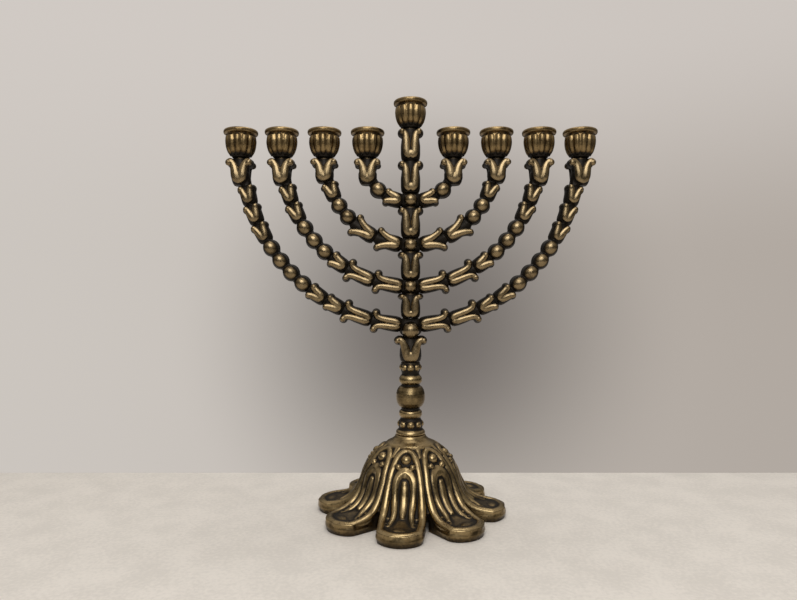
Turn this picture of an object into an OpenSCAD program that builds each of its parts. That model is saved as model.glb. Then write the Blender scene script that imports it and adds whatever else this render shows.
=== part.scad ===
// Nine-light branched candlestick of cast brass, built as a stack of castings on a tie rod.
// The front faces -Y, +Z is up and the flat underside of the petal base lies on Z = 0.

/* [Base] */
// Radius from the centre to the toe of a petal
base_r = 39.6; // [36:0.2:44]
// Height of the seat for the stem on top of the dome
base_h = 32.4; // [29:0.2:38]
// Radius of the dome
dome_r = 20.8; // [18:0.2:22]
// Radius of the hollow curve between the dome and the toes
flare_r = 14; // [11:0.5:17]
// Number of petals round the base
petal_count = 8; // [6:1:9]
// Width of one petal at its toe
petal_w = 18.2; // [15:0.2:20]
// Radius of the round end of a petal
toe_r = 10.5; // [10.2:0.1:14]
// Thickness of the toe at its edge
toe_h = 5.8; // [3.8:0.1:7]
// Thickness of the cast wall
base_wall = 2.4; // [1.8:0.1:3]
// Width of the raised border round each petal
border_w = 2.2; // [1.4:0.1:3]
// Depth of the sunk panel inside the border and of the valley between two petals
panel_depth = 1; // [0.3:0.1:1.2]
// Width of the valley between two petals
valley_w = 1.6; // [1:0.1:2]
// Radius of the bead left standing at the top of a panel
panel_bead_r = 1.5; // [1:0.1:1.6]
// Turn of the front petal away from the front
base_turn = -8; // [-20:1:20]

/* [Tie rod] */
// Diameter of the tie rod
rod_d = 4; // [3:0.1:4.6]
// Radial clearance round the rod in the castings it passes through
rod_clear = 0.15; // [0.1:0.05:0.3]
// Length of the rod that screws into the top column
rod_grip = 10; // [6:0.5:11]
// Length of the rod that stands out below the nut
rod_tail = 2; // [1:0.5:4]
// Thickness of the casting under the stem seat
seat_t = 4; // [3:0.2:6]
// Diameter of the washer
washer_d = 12; // [10:0.5:16]
// Thickness of the washer
washer_h = 1; // [0.6:0.1:2]
// Width of the nut across its flats
nut_w = 7; // [6.5:0.5:9]
// Height of the nut
nut_h = 3.2; // [2.4:0.1:5]

/* [Stem] */
// Height of the turned stem
stem_h = 30.2; // [26:0.2:36]
// Radius of the ball in the middle of the stem
stem_ball_r = 6.1; // [5.2:0.1:7]
// Radius of the foot of the stem
stem_foot_r = 6.2; // [5.6:0.1:6.3]
// Radius of the neck from the foot up to the ball
stem_neck_r = 4.3; // [3.8:0.1:4.8]
// Radius of the neck at the upper end
stem_top_r = 3.8; // [3.4:0.1:4.4]
// Radius of the two rings
stem_ring_r = 4.85; // [4.5:0.05:5.4]
// Radius of a bead in the beaded bands
stem_bead_r = 1.4; // [1.1:0.05:1.6]
// Beads in each of the two beaded bands
stem_beads = 8; // [6:1:10]

/* [Column] */
// Height of a hub that carries one pair of arms
hub_h = 5.8; // [5:0.1:7]
// Half of the width of a hub, from the axis to the face an arm seats on
hub_w = 4.9; // [4.4:0.1:5.6]
// Half of the depth of a hub
hub_t = 3.3; // [2.8:0.1:4]
// Radius of the ball on the front and back of the lowest hub
low_ball_r = 3.4; // [2.4:0.1:3.6]
// Distance of that ball below the arms, by which the lowest hub is taller
low_ball_drop = 1.6; // [0:0.1:2.4]
// Radius of the ball on the front and back of the other hubs
hub_ball_r = 2.5; // [1.8:0.1:3]
// Height of the lowest hub above the top of the stem
low_hub_rise = 15.6; // [14:0.2:18]
// Height of the second hub from below above the lowest one
hub_3_rise = 16.1; // [15:0.1:20]
// Height of the third hub from below above the second one
hub_2_rise = 17.5; // [16:0.1:21]
// Height of the highest hub above the third one from below
hub_1_rise = 18.6; // [17:0.1:21]
// Height of the seat for the top cup above the highest hub
top_rise = 29.9; // [27:0.1:34]
// Body radius of a column blossom
column_r = 4; // [3.5:0.1:4.6]
// Reach of the lips of a column blossom
column_lip = 5.5; // [5:0.1:5.9]
// Body radius of the large blossom under the lowest hub
low_r = 4.6; // [4:0.1:5]
// Reach of the lips of the large blossom under the lowest hub
low_lip = 7.1; // [6:0.1:7.4]

/* [Arms] */
// Height of the forked relief on the front and back above the body it lies on
relief_h = 1.1; // [0.6:0.1:1.6]
// Distance of the cups of the first pair from the axis
arm_1_reach = 18; // [17:0.2:20]
// Distance of the cups of the second pair from those of the first
arm_2_step = 18.1; // [16:0.1:20]
// Distance of the cups of the third pair from those of the second
arm_3_step = 17.9; // [16:0.1:20]
// Distance of the cups of the fourth pair from those of the third
arm_4_step = 17.2; // [16:0.1:20]
// Distance of the outermost cups outside the end of their arc, less for the inner pairs
cup_out = 1.1; // [0:0.1:2]
// Height of the seat of every side cup above the highest hub
cup_rise = 17.6; // [15.5:0.1:19]
// Radius of the plain core that runs through an arm
core_r = 2.5; // [2:0.1:2.8]
// Body radius of the long blossoms next to a hub
long_r = 3.4; // [2.9:0.1:3.6]
// Reach of the lips of the long blossoms
long_lip = 5.1; // [4.4:0.1:5.6]
// Body radius of the short blossoms
short_r = 3.3; // [2.8:0.1:3.6]
// Reach of the lips of the short blossoms
short_lip = 4.2; // [3.6:0.1:4.8]
// Radius of the beads on an arm
arm_bead_r = 3.3; // [2.8:0.1:3.6]
// Radius of the ball on the front and back of a bead
bead_ball_r = 2.5; // [2:0.1:2.7]
// Body radius of the blossom under a side cup
calyx_r = 4.2; // [3.8:0.1:4.8]
// Reach of the lips of the blossom under a side cup
calyx_lip = 5.8; // [5.2:0.1:6.6]
// Diameter of the round tenon that holds an arm in its hub
tenon_d = 3; // [2.4:0.1:3.4]
// Length of the tenon
tenon_l = 1.7; // [1:0.1:1.9]
// Radial clearance of tenons and spigots in their sockets
socket_clear = 0.05; // [0.03:0.01:0.1]

/* [Cups] */
// Height of a cup above its seat
cup_h = 11.8; // [11:0.2:15]
// Outer radius of the rim
rim_r = 7.1; // [6.5:0.1:7.6]
// Height of the rim band
rim_h = 2; // [1.4:0.1:2.6]
// Diameter of the bore for the candle
candle_d = 10.4; // [9.6:0.1:11]
// Depth of the bore for the candle
candle_depth = 7.4; // [6:0.1:7.6]
// Radius of the foot of a cup
cup_foot_r = 3.6; // [3:0.1:4.2]
// Lobes round a cup
lobe_count = 12; // [8:1:14]
// Radius of the groove between two lobes
groove_r = 1; // [0.7:0.1:1.2]
// Depth of the groove between two lobes
groove_depth = 0.6; // [0.3:0.1:0.7]
// Diameter of the spigot under a cup
spigot_d = 3.6; // [2.8:0.1:4]
// Length of the spigot
spigot_l = 3; // [2:0.1:4]

/* [Hidden] */
$fn = 64;

// Heights of the stack
stem_top = base_h + stem_h;
hub_4_z = stem_top + low_hub_rise;
hub_3_z = hub_4_z + hub_3_rise;
hub_2_z = hub_3_z + hub_2_rise;
hub_1_z = hub_2_z + hub_1_rise;
cup_seat_z = hub_1_z + cup_rise;
top_seat_z = hub_1_z + top_rise;
washer_z = base_h - seat_t - washer_h;
nut_z = washer_z - nut_h;
rod_end_z = nut_z - rod_tail;
rod_top_z = hub_1_z + hub_h / 2 + rod_grip;
bore_r = rod_d / 2 + rod_clear;
nut_corner_r = nut_w / 2 / cos(30);

// Bell of the base: a round dome and a hollow flare that runs out to flat toes
collar_h = 0.5;
collar_r = stem_foot_r + 0.3;
dome_z = base_h - collar_h - dome_r;
toe_dip = 0.25;
bell_bite = 0.15;
flare_z = toe_h + flare_r - toe_dip;
flare_x = sqrt(pow(dome_r + flare_r - bell_bite, 2) - pow(flare_z - dome_z, 2));
waist_z = dome_z + (flare_z - dome_z) * dome_r / (dome_r + flare_r);

// Distance of the cups of each pair from the axis
arm_2_reach = arm_1_reach + arm_2_step;
arm_3_reach = arm_2_reach + arm_3_step;
arm_4_reach = arm_3_reach + arm_4_step;

// Reach and bend radius of the arc of each arm: the first turns up at its hub, the others near the axis
shift_3 = 1;
shift_4 = 1.5;
arc_1 = arm_1_reach - cup_out / 4;
arc_2 = arm_2_reach - cup_out / 2;
arc_3 = arm_3_reach - cup_out * 3 / 4;
arc_4 = arm_4_reach - cup_out;
bend_1 = arc_1 - hub_w + 0.1;
bend_2 = arc_2;
bend_3 = arc_3 + shift_3;
bend_4 = arc_4 + shift_4;

// Relative lengths of the ornaments along an arm, from the hub to the cup
long_len = 12.4;
short_len = 8.2;
bead_len = 6.5;
calyx_len = 11.4;
arm_1_order = ["short", "bead", "calyx"];
arm_2_order = ["long", "long", "bead", "bead", "short", "calyx"];
arm_3_order = ["long", "long", "short", "bead", "bead", "bead", "short", "short", "calyx"];
arm_4_order = [
  "long", "long", "short", "short", "bead", "bead", "bead", "bead",
  "short", "short", "short", "calyx"
];

brass = [0.62, 0.47, 0.24];
steel = [0.55, 0.55, 0.56];

function kind_len(kind) =
  kind == "long" ? long_len : kind == "short" ? short_len : kind == "bead" ? bead_len : calyx_len;

function order_sum(order, count) = count == 0 ? 0 : kind_len(order[count - 1]) + order_sum(order, count - 1);

// Path of an arm: an arc about (bend_x, bend_z) from the face of the hub, then an upright run
function bend_x(reach, bend) = reach - bend;
function bend_z(reach, bend, hub_z) =
  hub_z + (bend > reach ? sqrt(bend * bend - pow(bend - reach, 2)) : bend);
function first_angle(reach, bend) = asin((hub_w - bend_x(reach, bend)) / bend);
function last_angle(reach, bend, hub_z) =
  bend_z(reach, bend, hub_z) > cup_seat_z ? acos((bend_z(reach, bend, hub_z) - cup_seat_z) / bend) : 90;
function upright_run(reach, bend, hub_z) = max(0, cup_seat_z - bend_z(reach, bend, hub_z));
function arc_run(reach, bend, hub_z) =
  (last_angle(reach, bend, hub_z) - first_angle(reach, bend)) * PI / 180 * bend;
function path_len(reach, bend, hub_z) = arc_run(reach, bend, hub_z) + upright_run(reach, bend, hub_z);
function path_angle(reach, bend, hub_z, s) =
  min(last_angle(reach, bend, hub_z), first_angle(reach, bend) + s / bend * 180 / PI);
function path_x(reach, bend, hub_z, s) =
  bend_x(reach, bend) + bend * sin(path_angle(reach, bend, hub_z, s));
function path_z(reach, bend, hub_z, s) =
  bend_z(reach, bend, hub_z) - bend * cos(path_angle(reach, bend, hub_z, s))
  + max(0, s - arc_run(reach, bend, hub_z));

// Outline of the forked relief of a blossom: a palm that splits into two prongs with round lips
module fork_outline(r, lip, len) {
  lip_r = 0.3 * lip;
  lip_x = lip - lip_r;
  lip_z = len - lip_r - 0.8;
  slit_z = 0.4 * len;
  for (side = [-1, 1]) {
    translate([side * lip_x, lip_z])
      circle(r = lip_r);
    polygon([
      [0, 0.05 * len], [side * 0.5 * r, 0.05 * len], [side * 0.74 * r, 0.2 * len],
      [side * 0.72 * r, 0.62 * len], [side * lip_x, lip_z - 0.8 * lip_r],
      [side * lip_x, lip_z + 0.7 * lip_r], [side * 0.28 * r, 0.8 * len], [side * 0.12 * r, slit_z],
      [0, slit_z]
    ]);
  }
}

// Ornaments, each standing on Z = 0 with its lips to the left and right
module blossom(r, lip, len) {
  rotate_extrude()
    polygon([
      [0, 0], [0.66 * r, 0], [0.9 * r, 0.1 * len], [r, 0.25 * len], [0.96 * r, 0.45 * len],
      [0.86 * r, 0.66 * len], [0.9 * r, 0.82 * len], [0.74 * r, len], [0, len]
    ]);
  rotate([90, 0, 0])
    linear_extrude(height = 2 * (r + relief_h), center = true)
      fork_outline(r, lip, len);
}

module bead(len) {
  translate([0, 0, len / 2]) {
    sphere(r = arm_bead_r);
    for (side = [-1, 1])
      translate([0, side * (arm_bead_r + relief_h - bead_ball_r), 0])
        sphere(r = bead_ball_r);
  }
}

module ornament(kind, len) {
  if (kind == "long")
    blossom(long_r, long_lip, len);
  if (kind == "short")
    blossom(short_r, short_lip, len);
  if (kind == "calyx")
    blossom(calyx_r, calyx_lip, len);
  if (kind == "bead")
    bead(len);
}

// One arm of the right side: core, ornaments, tenon and socket for the spigot of its cup
module arm(cup_x, reach, bend, hub_z, order) {
  total = path_len(reach, bend, hub_z);
  unit = total / order_sum(order, len(order));
  start = first_angle(reach, bend);
  sweep = last_angle(reach, bend, hub_z) - start;
  tenon_z = path_z(reach, bend, hub_z, 0);
  trim = 3 * long_lip;
  difference() {
    union() {
      translate([bend_x(reach, bend), 0, bend_z(reach, bend, hub_z)])
        rotate([90, 0, 0])
          rotate([0, 0, start - 90])
            rotate_extrude(angle = sweep)
              translate([bend, 0])
                circle(r = core_r);
      for (i = [0 : len(order) - 1]) {
        from = order_sum(order, i) * unit;
        long = kind_len(order[i]) * unit;
        mid = from + long / 2;
        upright = order[i] == "calyx";
        angle = upright ? 90 : path_angle(reach, bend, hub_z, mid);
        mid_x = upright ? cup_x : path_x(reach, bend, hub_z, mid);
        mid_z = upright ? cup_seat_z - long / 2 : path_z(reach, bend, hub_z, mid);
        translate([mid_x - cos(angle) * long / 2, 0, mid_z - sin(angle) * long / 2])
          rotate([0, 90 - angle, 0])
            ornament(order[i], long);
      }
    }
    translate([hub_w - trim, -trim, hub_z - trim])
      cube([trim, 2 * trim, 2 * trim]);
    translate([cup_x, 0, cup_seat_z - spigot_l - 0.2])
      cylinder(d = spigot_d + 2 * socket_clear, h = spigot_l + 1);
  }
  translate([hub_w - tenon_l, 0, tenon_z])
    rotate([0, 90, 0])
      cylinder(d = tenon_d, h = tenon_l + 1);
}

module arm_1() {
  arm(arm_1_reach, arc_1, bend_1, hub_1_z, arm_1_order);
}

module arm_2() {
  arm(arm_2_reach, arc_2, bend_2, hub_2_z, arm_2_order);
}

module arm_3() {
  arm(arm_3_reach, arc_3, bend_3, hub_3_z, arm_3_order);
}

module arm_4() {
  arm(arm_4_reach, arc_4, bend_4, hub_4_z, arm_4_order);
}

module arm_1_left() { color(brass) mirror([1, 0, 0]) arm_1(); }
module arm_1_right() { color(brass) arm_1(); }
module arm_2_left() { color(brass) mirror([1, 0, 0]) arm_2(); }
module arm_2_right() { color(brass) arm_2(); }
module arm_3_left() { color(brass) mirror([1, 0, 0]) arm_3(); }
module arm_3_right() { color(brass) arm_3(); }
module arm_4_left() { color(brass) mirror([1, 0, 0]) arm_4(); }
module arm_4_right() { color(brass) arm_4(); }

// Candle cup with a lobed bowl, a rim band and a spigot below its seat
module cup() {
  bowl_h = cup_h - rim_h;
  bowl_r = rim_r - 0.55;
  groove_lean = 7;
  groove_top = 0.86 * bowl_h;
  groove_l = 0.76 * bowl_h;
  difference() {
    union() {
      rotate_extrude()
        polygon([
          [0, 0], [cup_foot_r, 0], [0.68 * bowl_r, 0.1 * bowl_h], [0.86 * bowl_r, 0.28 * bowl_h],
          [0.95 * bowl_r, 0.47 * bowl_h], [bowl_r, 0.66 * bowl_h], [bowl_r, 0.88 * bowl_h],
          [0.91 * bowl_r, 0.97 * bowl_h], [0.96 * bowl_r, bowl_h], [rim_r, bowl_h + 0.5],
          [rim_r, cup_h - 0.4], [rim_r - 0.4, cup_h], [0, cup_h]
        ]);
      translate([0, 0, -spigot_l])
        cylinder(d = spigot_d, h = spigot_l + 1);
    }
    translate([0, 0, cup_h - candle_depth])
      cylinder(d = candle_d, h = candle_depth + 1);
    for (i = [0 : lobe_count - 1])
      rotate([0, 0, (i + 0.5) * 360 / lobe_count])
        translate([bowl_r + groove_r - groove_depth, 0, groove_top])
          rotate([0, groove_lean, 0])
            translate([0, 0, -groove_l])
              cylinder(r = groove_r, h = groove_l);
  }
}

module side_cup(cup_x) {
  color(brass)
    translate([cup_x, 0, cup_seat_z])
      cup();
}

module cup_top() { color(brass) translate([0, 0, top_seat_z]) cup(); }
module cup_1_left() { side_cup(-arm_1_reach); }
module cup_1_right() { side_cup(arm_1_reach); }
module cup_2_left() { side_cup(-arm_2_reach); }
module cup_2_right() { side_cup(arm_2_reach); }
module cup_3_left() { side_cup(-arm_3_reach); }
module cup_3_right() { side_cup(arm_3_reach); }
module cup_4_left() { side_cup(-arm_4_reach); }
module cup_4_right() { side_cup(arm_4_reach); }

// Hub with a ball on its front and back, a bore for the rod and a socket in each side
module hub(hub_z, ball_r, drop, socket_z) {
  color(brass)
    translate([0, 0, hub_z])
      difference() {
        union() {
          translate([-hub_w, -hub_t, -hub_h / 2 - drop])
            cube([2 * hub_w, 2 * hub_t, hub_h + drop]);
          for (side = [-1, 1])
            intersection() {
              translate([0, side * (hub_t - 0.9), -drop])
                sphere(r = ball_r);
              translate([-hub_w, -hub_t - ball_r, -hub_h / 2 - drop])
                cube([2 * hub_w, 2 * (hub_t + ball_r), hub_h + drop]);
            }
        }
        translate([0, 0, -hub_h - drop])
          cylinder(r = bore_r, h = 2 * hub_h + drop);
        for (side = [-1, 1])
          translate([side * (hub_w - tenon_l / 2 + 0.4), 0, socket_z - hub_z])
            rotate([0, 90, 0])
              cylinder(d = tenon_d + 2 * socket_clear, h = tenon_l + 1, center = true);
      }
}

module hub_1() { hub(hub_1_z, hub_ball_r, 0, path_z(arc_1, bend_1, hub_1_z, 0)); }
module hub_2() { hub(hub_2_z, hub_ball_r, 0, path_z(arc_2, bend_2, hub_2_z, 0)); }
module hub_3() { hub(hub_3_z, hub_ball_r, 0, path_z(arc_3, bend_3, hub_3_z, 0)); }
module hub_4() { hub(hub_4_z, low_ball_r, low_ball_drop, path_z(arc_4, bend_4, hub_4_z, 0)); }

// Column blossoms between the hubs
module column_piece(from_z, to_z, r, lip) {
  color(brass)
    translate([0, 0, from_z])
      difference() {
        blossom(r, lip, to_z - from_z);
        translate([0, 0, -1])
          cylinder(r = bore_r, h = to_z - from_z + 2);
      }
}

module low_blossom() { column_piece(stem_top, hub_4_z - hub_h / 2 - low_ball_drop, low_r, low_lip); }
module column_43() { column_piece(hub_4_z + hub_h / 2, hub_3_z - hub_h / 2, column_r, column_lip); }
module column_32() { column_piece(hub_3_z + hub_h / 2, hub_2_z - hub_h / 2, column_r, column_lip); }
module column_21() { column_piece(hub_2_z + hub_h / 2, hub_1_z - hub_h / 2, column_r, column_lip); }

// Two blossoms in one casting, tapped below for the rod and bored above for the top cup
module top_column() {
  from_z = hub_1_z + hub_h / 2;
  half = (top_seat_z - from_z) / 2;
  color(brass)
    difference() {
      union() {
        translate([0, 0, from_z])
          blossom(column_r, column_lip, half);
        translate([0, 0, from_z + half])
          blossom(column_r, column_lip, half);
      }
      translate([0, 0, from_z - 1])
        cylinder(d = rod_d, h = rod_top_z - from_z + 1);
      translate([0, 0, top_seat_z - spigot_l - 0.2])
        cylinder(d = spigot_d + 2 * socket_clear, h = spigot_l + 1);
    }
}

// Turned stem: foot, beaded band, ring, ball, ring and beaded band
module stem() {
  u = stem_h / 30.2;
  band_1 = 4.4 * u;
  band_2 = 28 * u;
  color(brass)
    translate([0, 0, base_h])
      difference() {
        union() {
          rotate_extrude() {
            polygon([
              [0, 0], [stem_foot_r, 0], [stem_foot_r, 0.9 * u], [stem_foot_r - 0.9, 2.2 * u],
              [stem_neck_r, 2.6 * u], [stem_neck_r, 12 * u], [stem_neck_r - 0.2, 20.6 * u],
              [stem_top_r + 0.1, 26 * u], [stem_top_r - 0.4, 26.4 * u], [stem_top_r - 0.4, 29.6 * u],
              [stem_top_r, 30 * u], [stem_top_r, stem_h], [0, stem_h]
            ]);
            translate([0.6 * stem_ring_r, 8.8 * u])
              circle(r = 0.4 * stem_ring_r);
            translate([0.55 * stem_ring_r, 22.7 * u])
              circle(r = 0.45 * stem_ring_r);
            intersection() {
              translate([0, 15.8 * u])
                circle(r = stem_ball_r);
              translate([0, 11.3 * u])
                square([stem_ball_r + 1, 9 * u]);
            }
          }
          for (i = [0 : stem_beads - 1])
            rotate([0, 0, i * 360 / stem_beads]) {
              translate([0, 0.6 - stem_neck_r, band_1])
                sphere(r = stem_bead_r);
              translate([0, 0.75 - stem_top_r, band_2])
                sphere(r = stem_bead_r);
            }
        }
        translate([0, 0, -1])
          cylinder(r = bore_r, h = stem_h + 2);
      }
}

// Outline of the bell, drawn in by the distance inset
module bell_outline(inset) {
  intersection() {
    translate([0, dome_z])
      circle(r = dome_r - inset);
    square([base_r, base_h]);
  }
  difference() {
    square([base_r + 2, waist_z]);
    translate([flare_x, flare_z])
      circle(r = flare_r + inset);
    translate([flare_x, toe_h - inset])
      square([base_r, base_h]);
  }
}

module bell(inset) {
  rotate_extrude()
    bell_outline(inset);
}

// Plan of the petals, drawn in by the distance inset
module petal_plan(inset) {
  circle(r = dome_r);
  for (i = [0 : petal_count - 1])
    rotate(i * 360 / petal_count + base_turn)
      intersection() {
        translate([inset - petal_w / 2, -base_r])
          square([petal_w - 2 * inset, base_r - 5]);
        union() {
          translate([0, toe_r - base_r])
            circle(r = toe_r - inset);
          translate([-petal_w, toe_r - base_r])
            square([2 * petal_w, base_r]);
        }
      }
}

// Shield left standing in the middle of a panel
module shield_outline(half) {
  polygon([
    [0, -0.793 * dome_r], [0.33 * half, -0.836 * dome_r], [0.59 * half, -0.894 * dome_r],
    [0.65 * half, -0.981 * dome_r], [0.61 * half, -1.058 * dome_r], [0.49 * half, -1.21 * dome_r],
    [0.5 * half, -1.356 * dome_r], [-0.5 * half, -1.356 * dome_r], [-0.49 * half, -1.21 * dome_r],
    [-0.61 * half, -1.058 * dome_r], [-0.65 * half, -0.981 * dome_r], [-0.59 * half, -0.894 * dome_r],
    [-0.33 * half, -0.836 * dome_r]
  ]);
}

// Plan of the sunk panels: an arch down the dome that widens to the toe, less its shield and bead
module panel_plan() {
  half = petal_w / 2 - border_w;
  join_r = petal_w / 2 / tan(180 / petal_count);
  for (i = [0 : petal_count - 1])
    rotate(i * 360 / petal_count + base_turn)
      difference() {
        intersection() {
          polygon([
            [0.15 * half, -0.61 * dome_r], [0.45 * half, -0.71 * dome_r], [0.67 * half, -0.87 * dome_r],
            [half, -join_r - 1.5], [half, -base_r], [-half, -base_r], [-half, -join_r - 1.5],
            [-0.67 * half, -0.87 * dome_r], [-0.45 * half, -0.71 * dome_r], [-0.15 * half, -0.61 * dome_r]
          ]);
          union() {
            translate([0, toe_r - base_r])
              circle(r = toe_r - border_w);
            translate([-petal_w, toe_r - base_r])
              square([2 * petal_w, base_r]);
          }
        }
        shield_outline(half);
        translate([0, -0.7 * dome_r])
          circle(r = panel_bead_r);
      }
}

// Plan of the valleys between neighbouring petals on the dome
module valley_plan() {
  join_r = petal_w / 2 / tan(180 / petal_count);
  from_r = 0.6 * dome_r;
  for (i = [0 : petal_count - 1])
    rotate((i + 0.5) * 360 / petal_count + base_turn)
      translate([-valley_w / 2, -join_r - 1])
        square([valley_w, join_r + 1 - from_r]);
}

module base() {
  color(brass)
    difference() {
      union() {
        intersection() {
          bell(0);
          linear_extrude(height = base_h)
            petal_plan(0);
        }
        translate([0, 0, base_h - seat_t])
          cylinder(r = collar_r, h = seat_t);
      }
      intersection() {
        bell(base_wall);
        translate([0, 0, -1])
          linear_extrude(height = base_h - seat_t + 1)
            petal_plan(base_wall);
      }
      intersection() {
        translate([0, 0, 1])
          linear_extrude(height = base_h) {
            panel_plan();
            valley_plan();
          }
        difference() {
          translate([0, 0, 1])
            cylinder(r = base_r + 1, h = base_h - 3);
          bell(panel_depth);
        }
      }
      translate([0, 0, base_h - seat_t - 1])
        cylinder(r = bore_r, h = seat_t + 2);
    }
}

module tie_rod() {
  color(steel)
    translate([0, 0, rod_end_z])
      cylinder(d = rod_d, h = rod_top_z - rod_end_z);
}

module washer() {
  color(steel)
    translate([0, 0, washer_z])
      difference() {
        cylinder(d = washer_d, h = washer_h);
        translate([0, 0, -1])
          cylinder(r = bore_r, h = washer_h + 2);
      }
}

module clamp_nut() {
  color(steel)
    translate([0, 0, nut_z])
      difference() {
        cylinder(r = nut_corner_r, h = nut_h, $fn = 6);
        translate([0, 0, -1])
          cylinder(d = rod_d, h = nut_h + 2);
      }
}

base();
stem();
low_blossom();
hub_4();
hub_3();
hub_2();
hub_1();
column_43();
column_32();
column_21();
top_column();
arm_1_left();
arm_1_right();
arm_2_left();
arm_2_right();
arm_3_left();
arm_3_right();
arm_4_left();
arm_4_right();
cup_top();
cup_1_left();
cup_1_right();
cup_2_left();
cup_2_right();
cup_3_left();
cup_3_right();
cup_4_left();
cup_4_right();
tie_rod();
washer();
clamp_nut();
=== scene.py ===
import bpy
import math
import numpy as np
from mathutils import Matrix, Vector


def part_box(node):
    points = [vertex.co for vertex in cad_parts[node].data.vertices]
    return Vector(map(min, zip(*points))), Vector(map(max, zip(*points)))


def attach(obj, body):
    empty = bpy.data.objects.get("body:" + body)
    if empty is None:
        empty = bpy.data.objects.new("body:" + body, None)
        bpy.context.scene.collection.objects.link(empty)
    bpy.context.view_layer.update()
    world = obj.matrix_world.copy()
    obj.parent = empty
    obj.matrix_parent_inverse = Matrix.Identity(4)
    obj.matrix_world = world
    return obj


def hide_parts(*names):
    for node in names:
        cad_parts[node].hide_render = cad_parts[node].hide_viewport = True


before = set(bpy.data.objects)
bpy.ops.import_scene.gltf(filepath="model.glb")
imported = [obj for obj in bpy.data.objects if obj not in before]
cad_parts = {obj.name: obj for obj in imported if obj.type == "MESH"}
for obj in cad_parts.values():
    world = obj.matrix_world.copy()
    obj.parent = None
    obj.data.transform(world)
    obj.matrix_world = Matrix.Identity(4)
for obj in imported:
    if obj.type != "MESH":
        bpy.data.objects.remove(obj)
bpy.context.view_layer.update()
mm = 0.001                      # pieces are modelled in millimetres and brought to metres at the end
print("frame loaded")


# Small tools of the bench

def clearSelection():
    if bpy.context.object and bpy.context.object.mode == "EDIT":
        bpy.ops.object.mode_set(mode="OBJECT")
    bpy.ops.object.select_all(action="DESELECT")


def pick(piece):
    clearSelection()
    piece.select_set(True)
    bpy.context.view_layer.objects.active = piece


def boxOf(node):
    low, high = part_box(node)
    return low / mm, high / mm


def ringBody(rings, sides=48):
    clearSelection()
    radius, height = rings[0]
    bpy.ops.mesh.primitive_circle_add(vertices=sides, radius=radius, fill_type="NGON")
    bpy.ops.object.mode_set(mode="EDIT")
    bpy.ops.transform.translate(value=(0, 0, height))
    for nextRadius, nextHeight in rings[1:]:
        bpy.ops.mesh.extrude_region_move(TRANSFORM_OT_translate={"value": (0, 0, nextHeight - height)})
        grow = nextRadius / radius
        bpy.ops.transform.resize(value=(grow, grow, 1), center_override=(0, 0, nextHeight))
        radius, height = nextRadius, nextHeight
    bpy.ops.mesh.select_all(action="SELECT")
    bpy.ops.mesh.normals_make_consistent(inside=False)
    bpy.ops.object.mode_set(mode="OBJECT")
    return bpy.context.object


def ball(place, radius, stretch=(1, 1, 1)):
    clearSelection()
    bpy.ops.mesh.primitive_uv_sphere_add(segments=20, ring_count=12, radius=radius, location=place,
                                         scale=stretch)
    bpy.ops.object.transform_apply(location=True, rotation=True, scale=True)
    return bpy.context.object


def pathCurve(points):
    clearSelection()
    bpy.ops.curve.primitive_nurbs_path_add()
    curve = bpy.context.object
    line = curve.data.splines[0]
    line.points.add(len(points) - len(line.points))      # the path starts with five points
    for knot, place in zip(line.points, points):
        knot.co = (*place, 1)
    line.use_endpoint_u = True
    line.order_u = 3
    line.resolution_u = 4
    return curve


def ridgeTube(points, sizes):
    tube = pathCurve(points)
    for knot, size in zip(tube.data.splines[0].points, sizes):
        knot.radius = size
    tube.data.bevel_depth = 1
    tube.data.bevel_resolution = 3
    tube.data.use_fill_caps = True
    bpy.ops.object.convert(target="MESH")
    return bpy.context.object


def uprightWall(points, half, low, topAt):
    wall = pathCurve([(x, y, 0) for x, y in points])
    wall.data.dimensions = "2D"
    wall.data.fill_mode = "NONE"
    wall.data.extrude = 1
    bpy.ops.object.convert(target="MESH")
    wall = bpy.context.object
    for vertex in wall.data.vertices:
        vertex.co.z = low if vertex.co.z < 0 else topAt(vertex.co.x, vertex.co.y)
    thick = wall.modifiers.new("thick", "SOLIDIFY")
    thick.thickness = half * 2
    thick.offset = 0
    bpy.ops.object.modifier_apply(modifier="thick")
    return wall


def joinPieces(parts):
    clearSelection()
    for part in parts:
        part.select_set(True)
    bpy.context.view_layer.objects.active = parts[0]
    bpy.ops.object.join()
    return bpy.context.object


def placeCopy(source, matrix):
    copy = source.copy()
    copy.data = source.data.copy()
    copy.data.transform(matrix)
    bpy.context.scene.collection.objects.link(copy)
    return copy


def castSkin(piece, grain, rounds):
    pick(piece)
    skin = piece.modifiers.new("skin", "REMESH")
    skin.mode = "VOXEL"
    skin.voxel_size = grain
    skin.use_smooth_shade = True
    soft = piece.modifiers.new("soft", "SMOOTH")
    soft.factor = 0.5
    soft.iterations = rounds
    bpy.ops.object.modifier_apply(modifier="skin")
    bpy.ops.object.modifier_apply(modifier="soft")
    return piece


def thinOut(piece, faces):
    pick(piece)
    thin = piece.modifiers.new("thin", "DECIMATE")
    thin.ratio = min(1, faces / len(piece.data.polygons))
    bpy.ops.object.modifier_apply(modifier="thin")


def meshArrays(mesh):
    count = len(mesh.vertices)
    place = np.empty(count * 3, np.float32)
    normal = np.empty(count * 3, np.float32)
    edge = np.empty(len(mesh.edges) * 2, np.int32)
    mesh.vertices.foreach_get("co", place)
    mesh.vertices.foreach_get("normal", normal)
    mesh.edges.foreach_get("vertices", edge)
    return place.reshape(-1, 3), normal.reshape(-1, 3), edge.reshape(-1, 2)


def spreadOut(edge, value, rounds):
    count = len(value)
    ends = np.concatenate([edge[:, 0], edge[:, 1]])
    others = np.concatenate([edge[:, 1], edge[:, 0]])
    share = 1 / np.maximum(np.bincount(ends, minlength=count), 1)
    flow = value.astype(np.float64).reshape(count, -1)
    for _ in range(rounds):
        flow = np.stack([np.bincount(ends, column[others], count) * share for column in flow.T], 1)
    return flow.reshape(value.shape)


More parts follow.
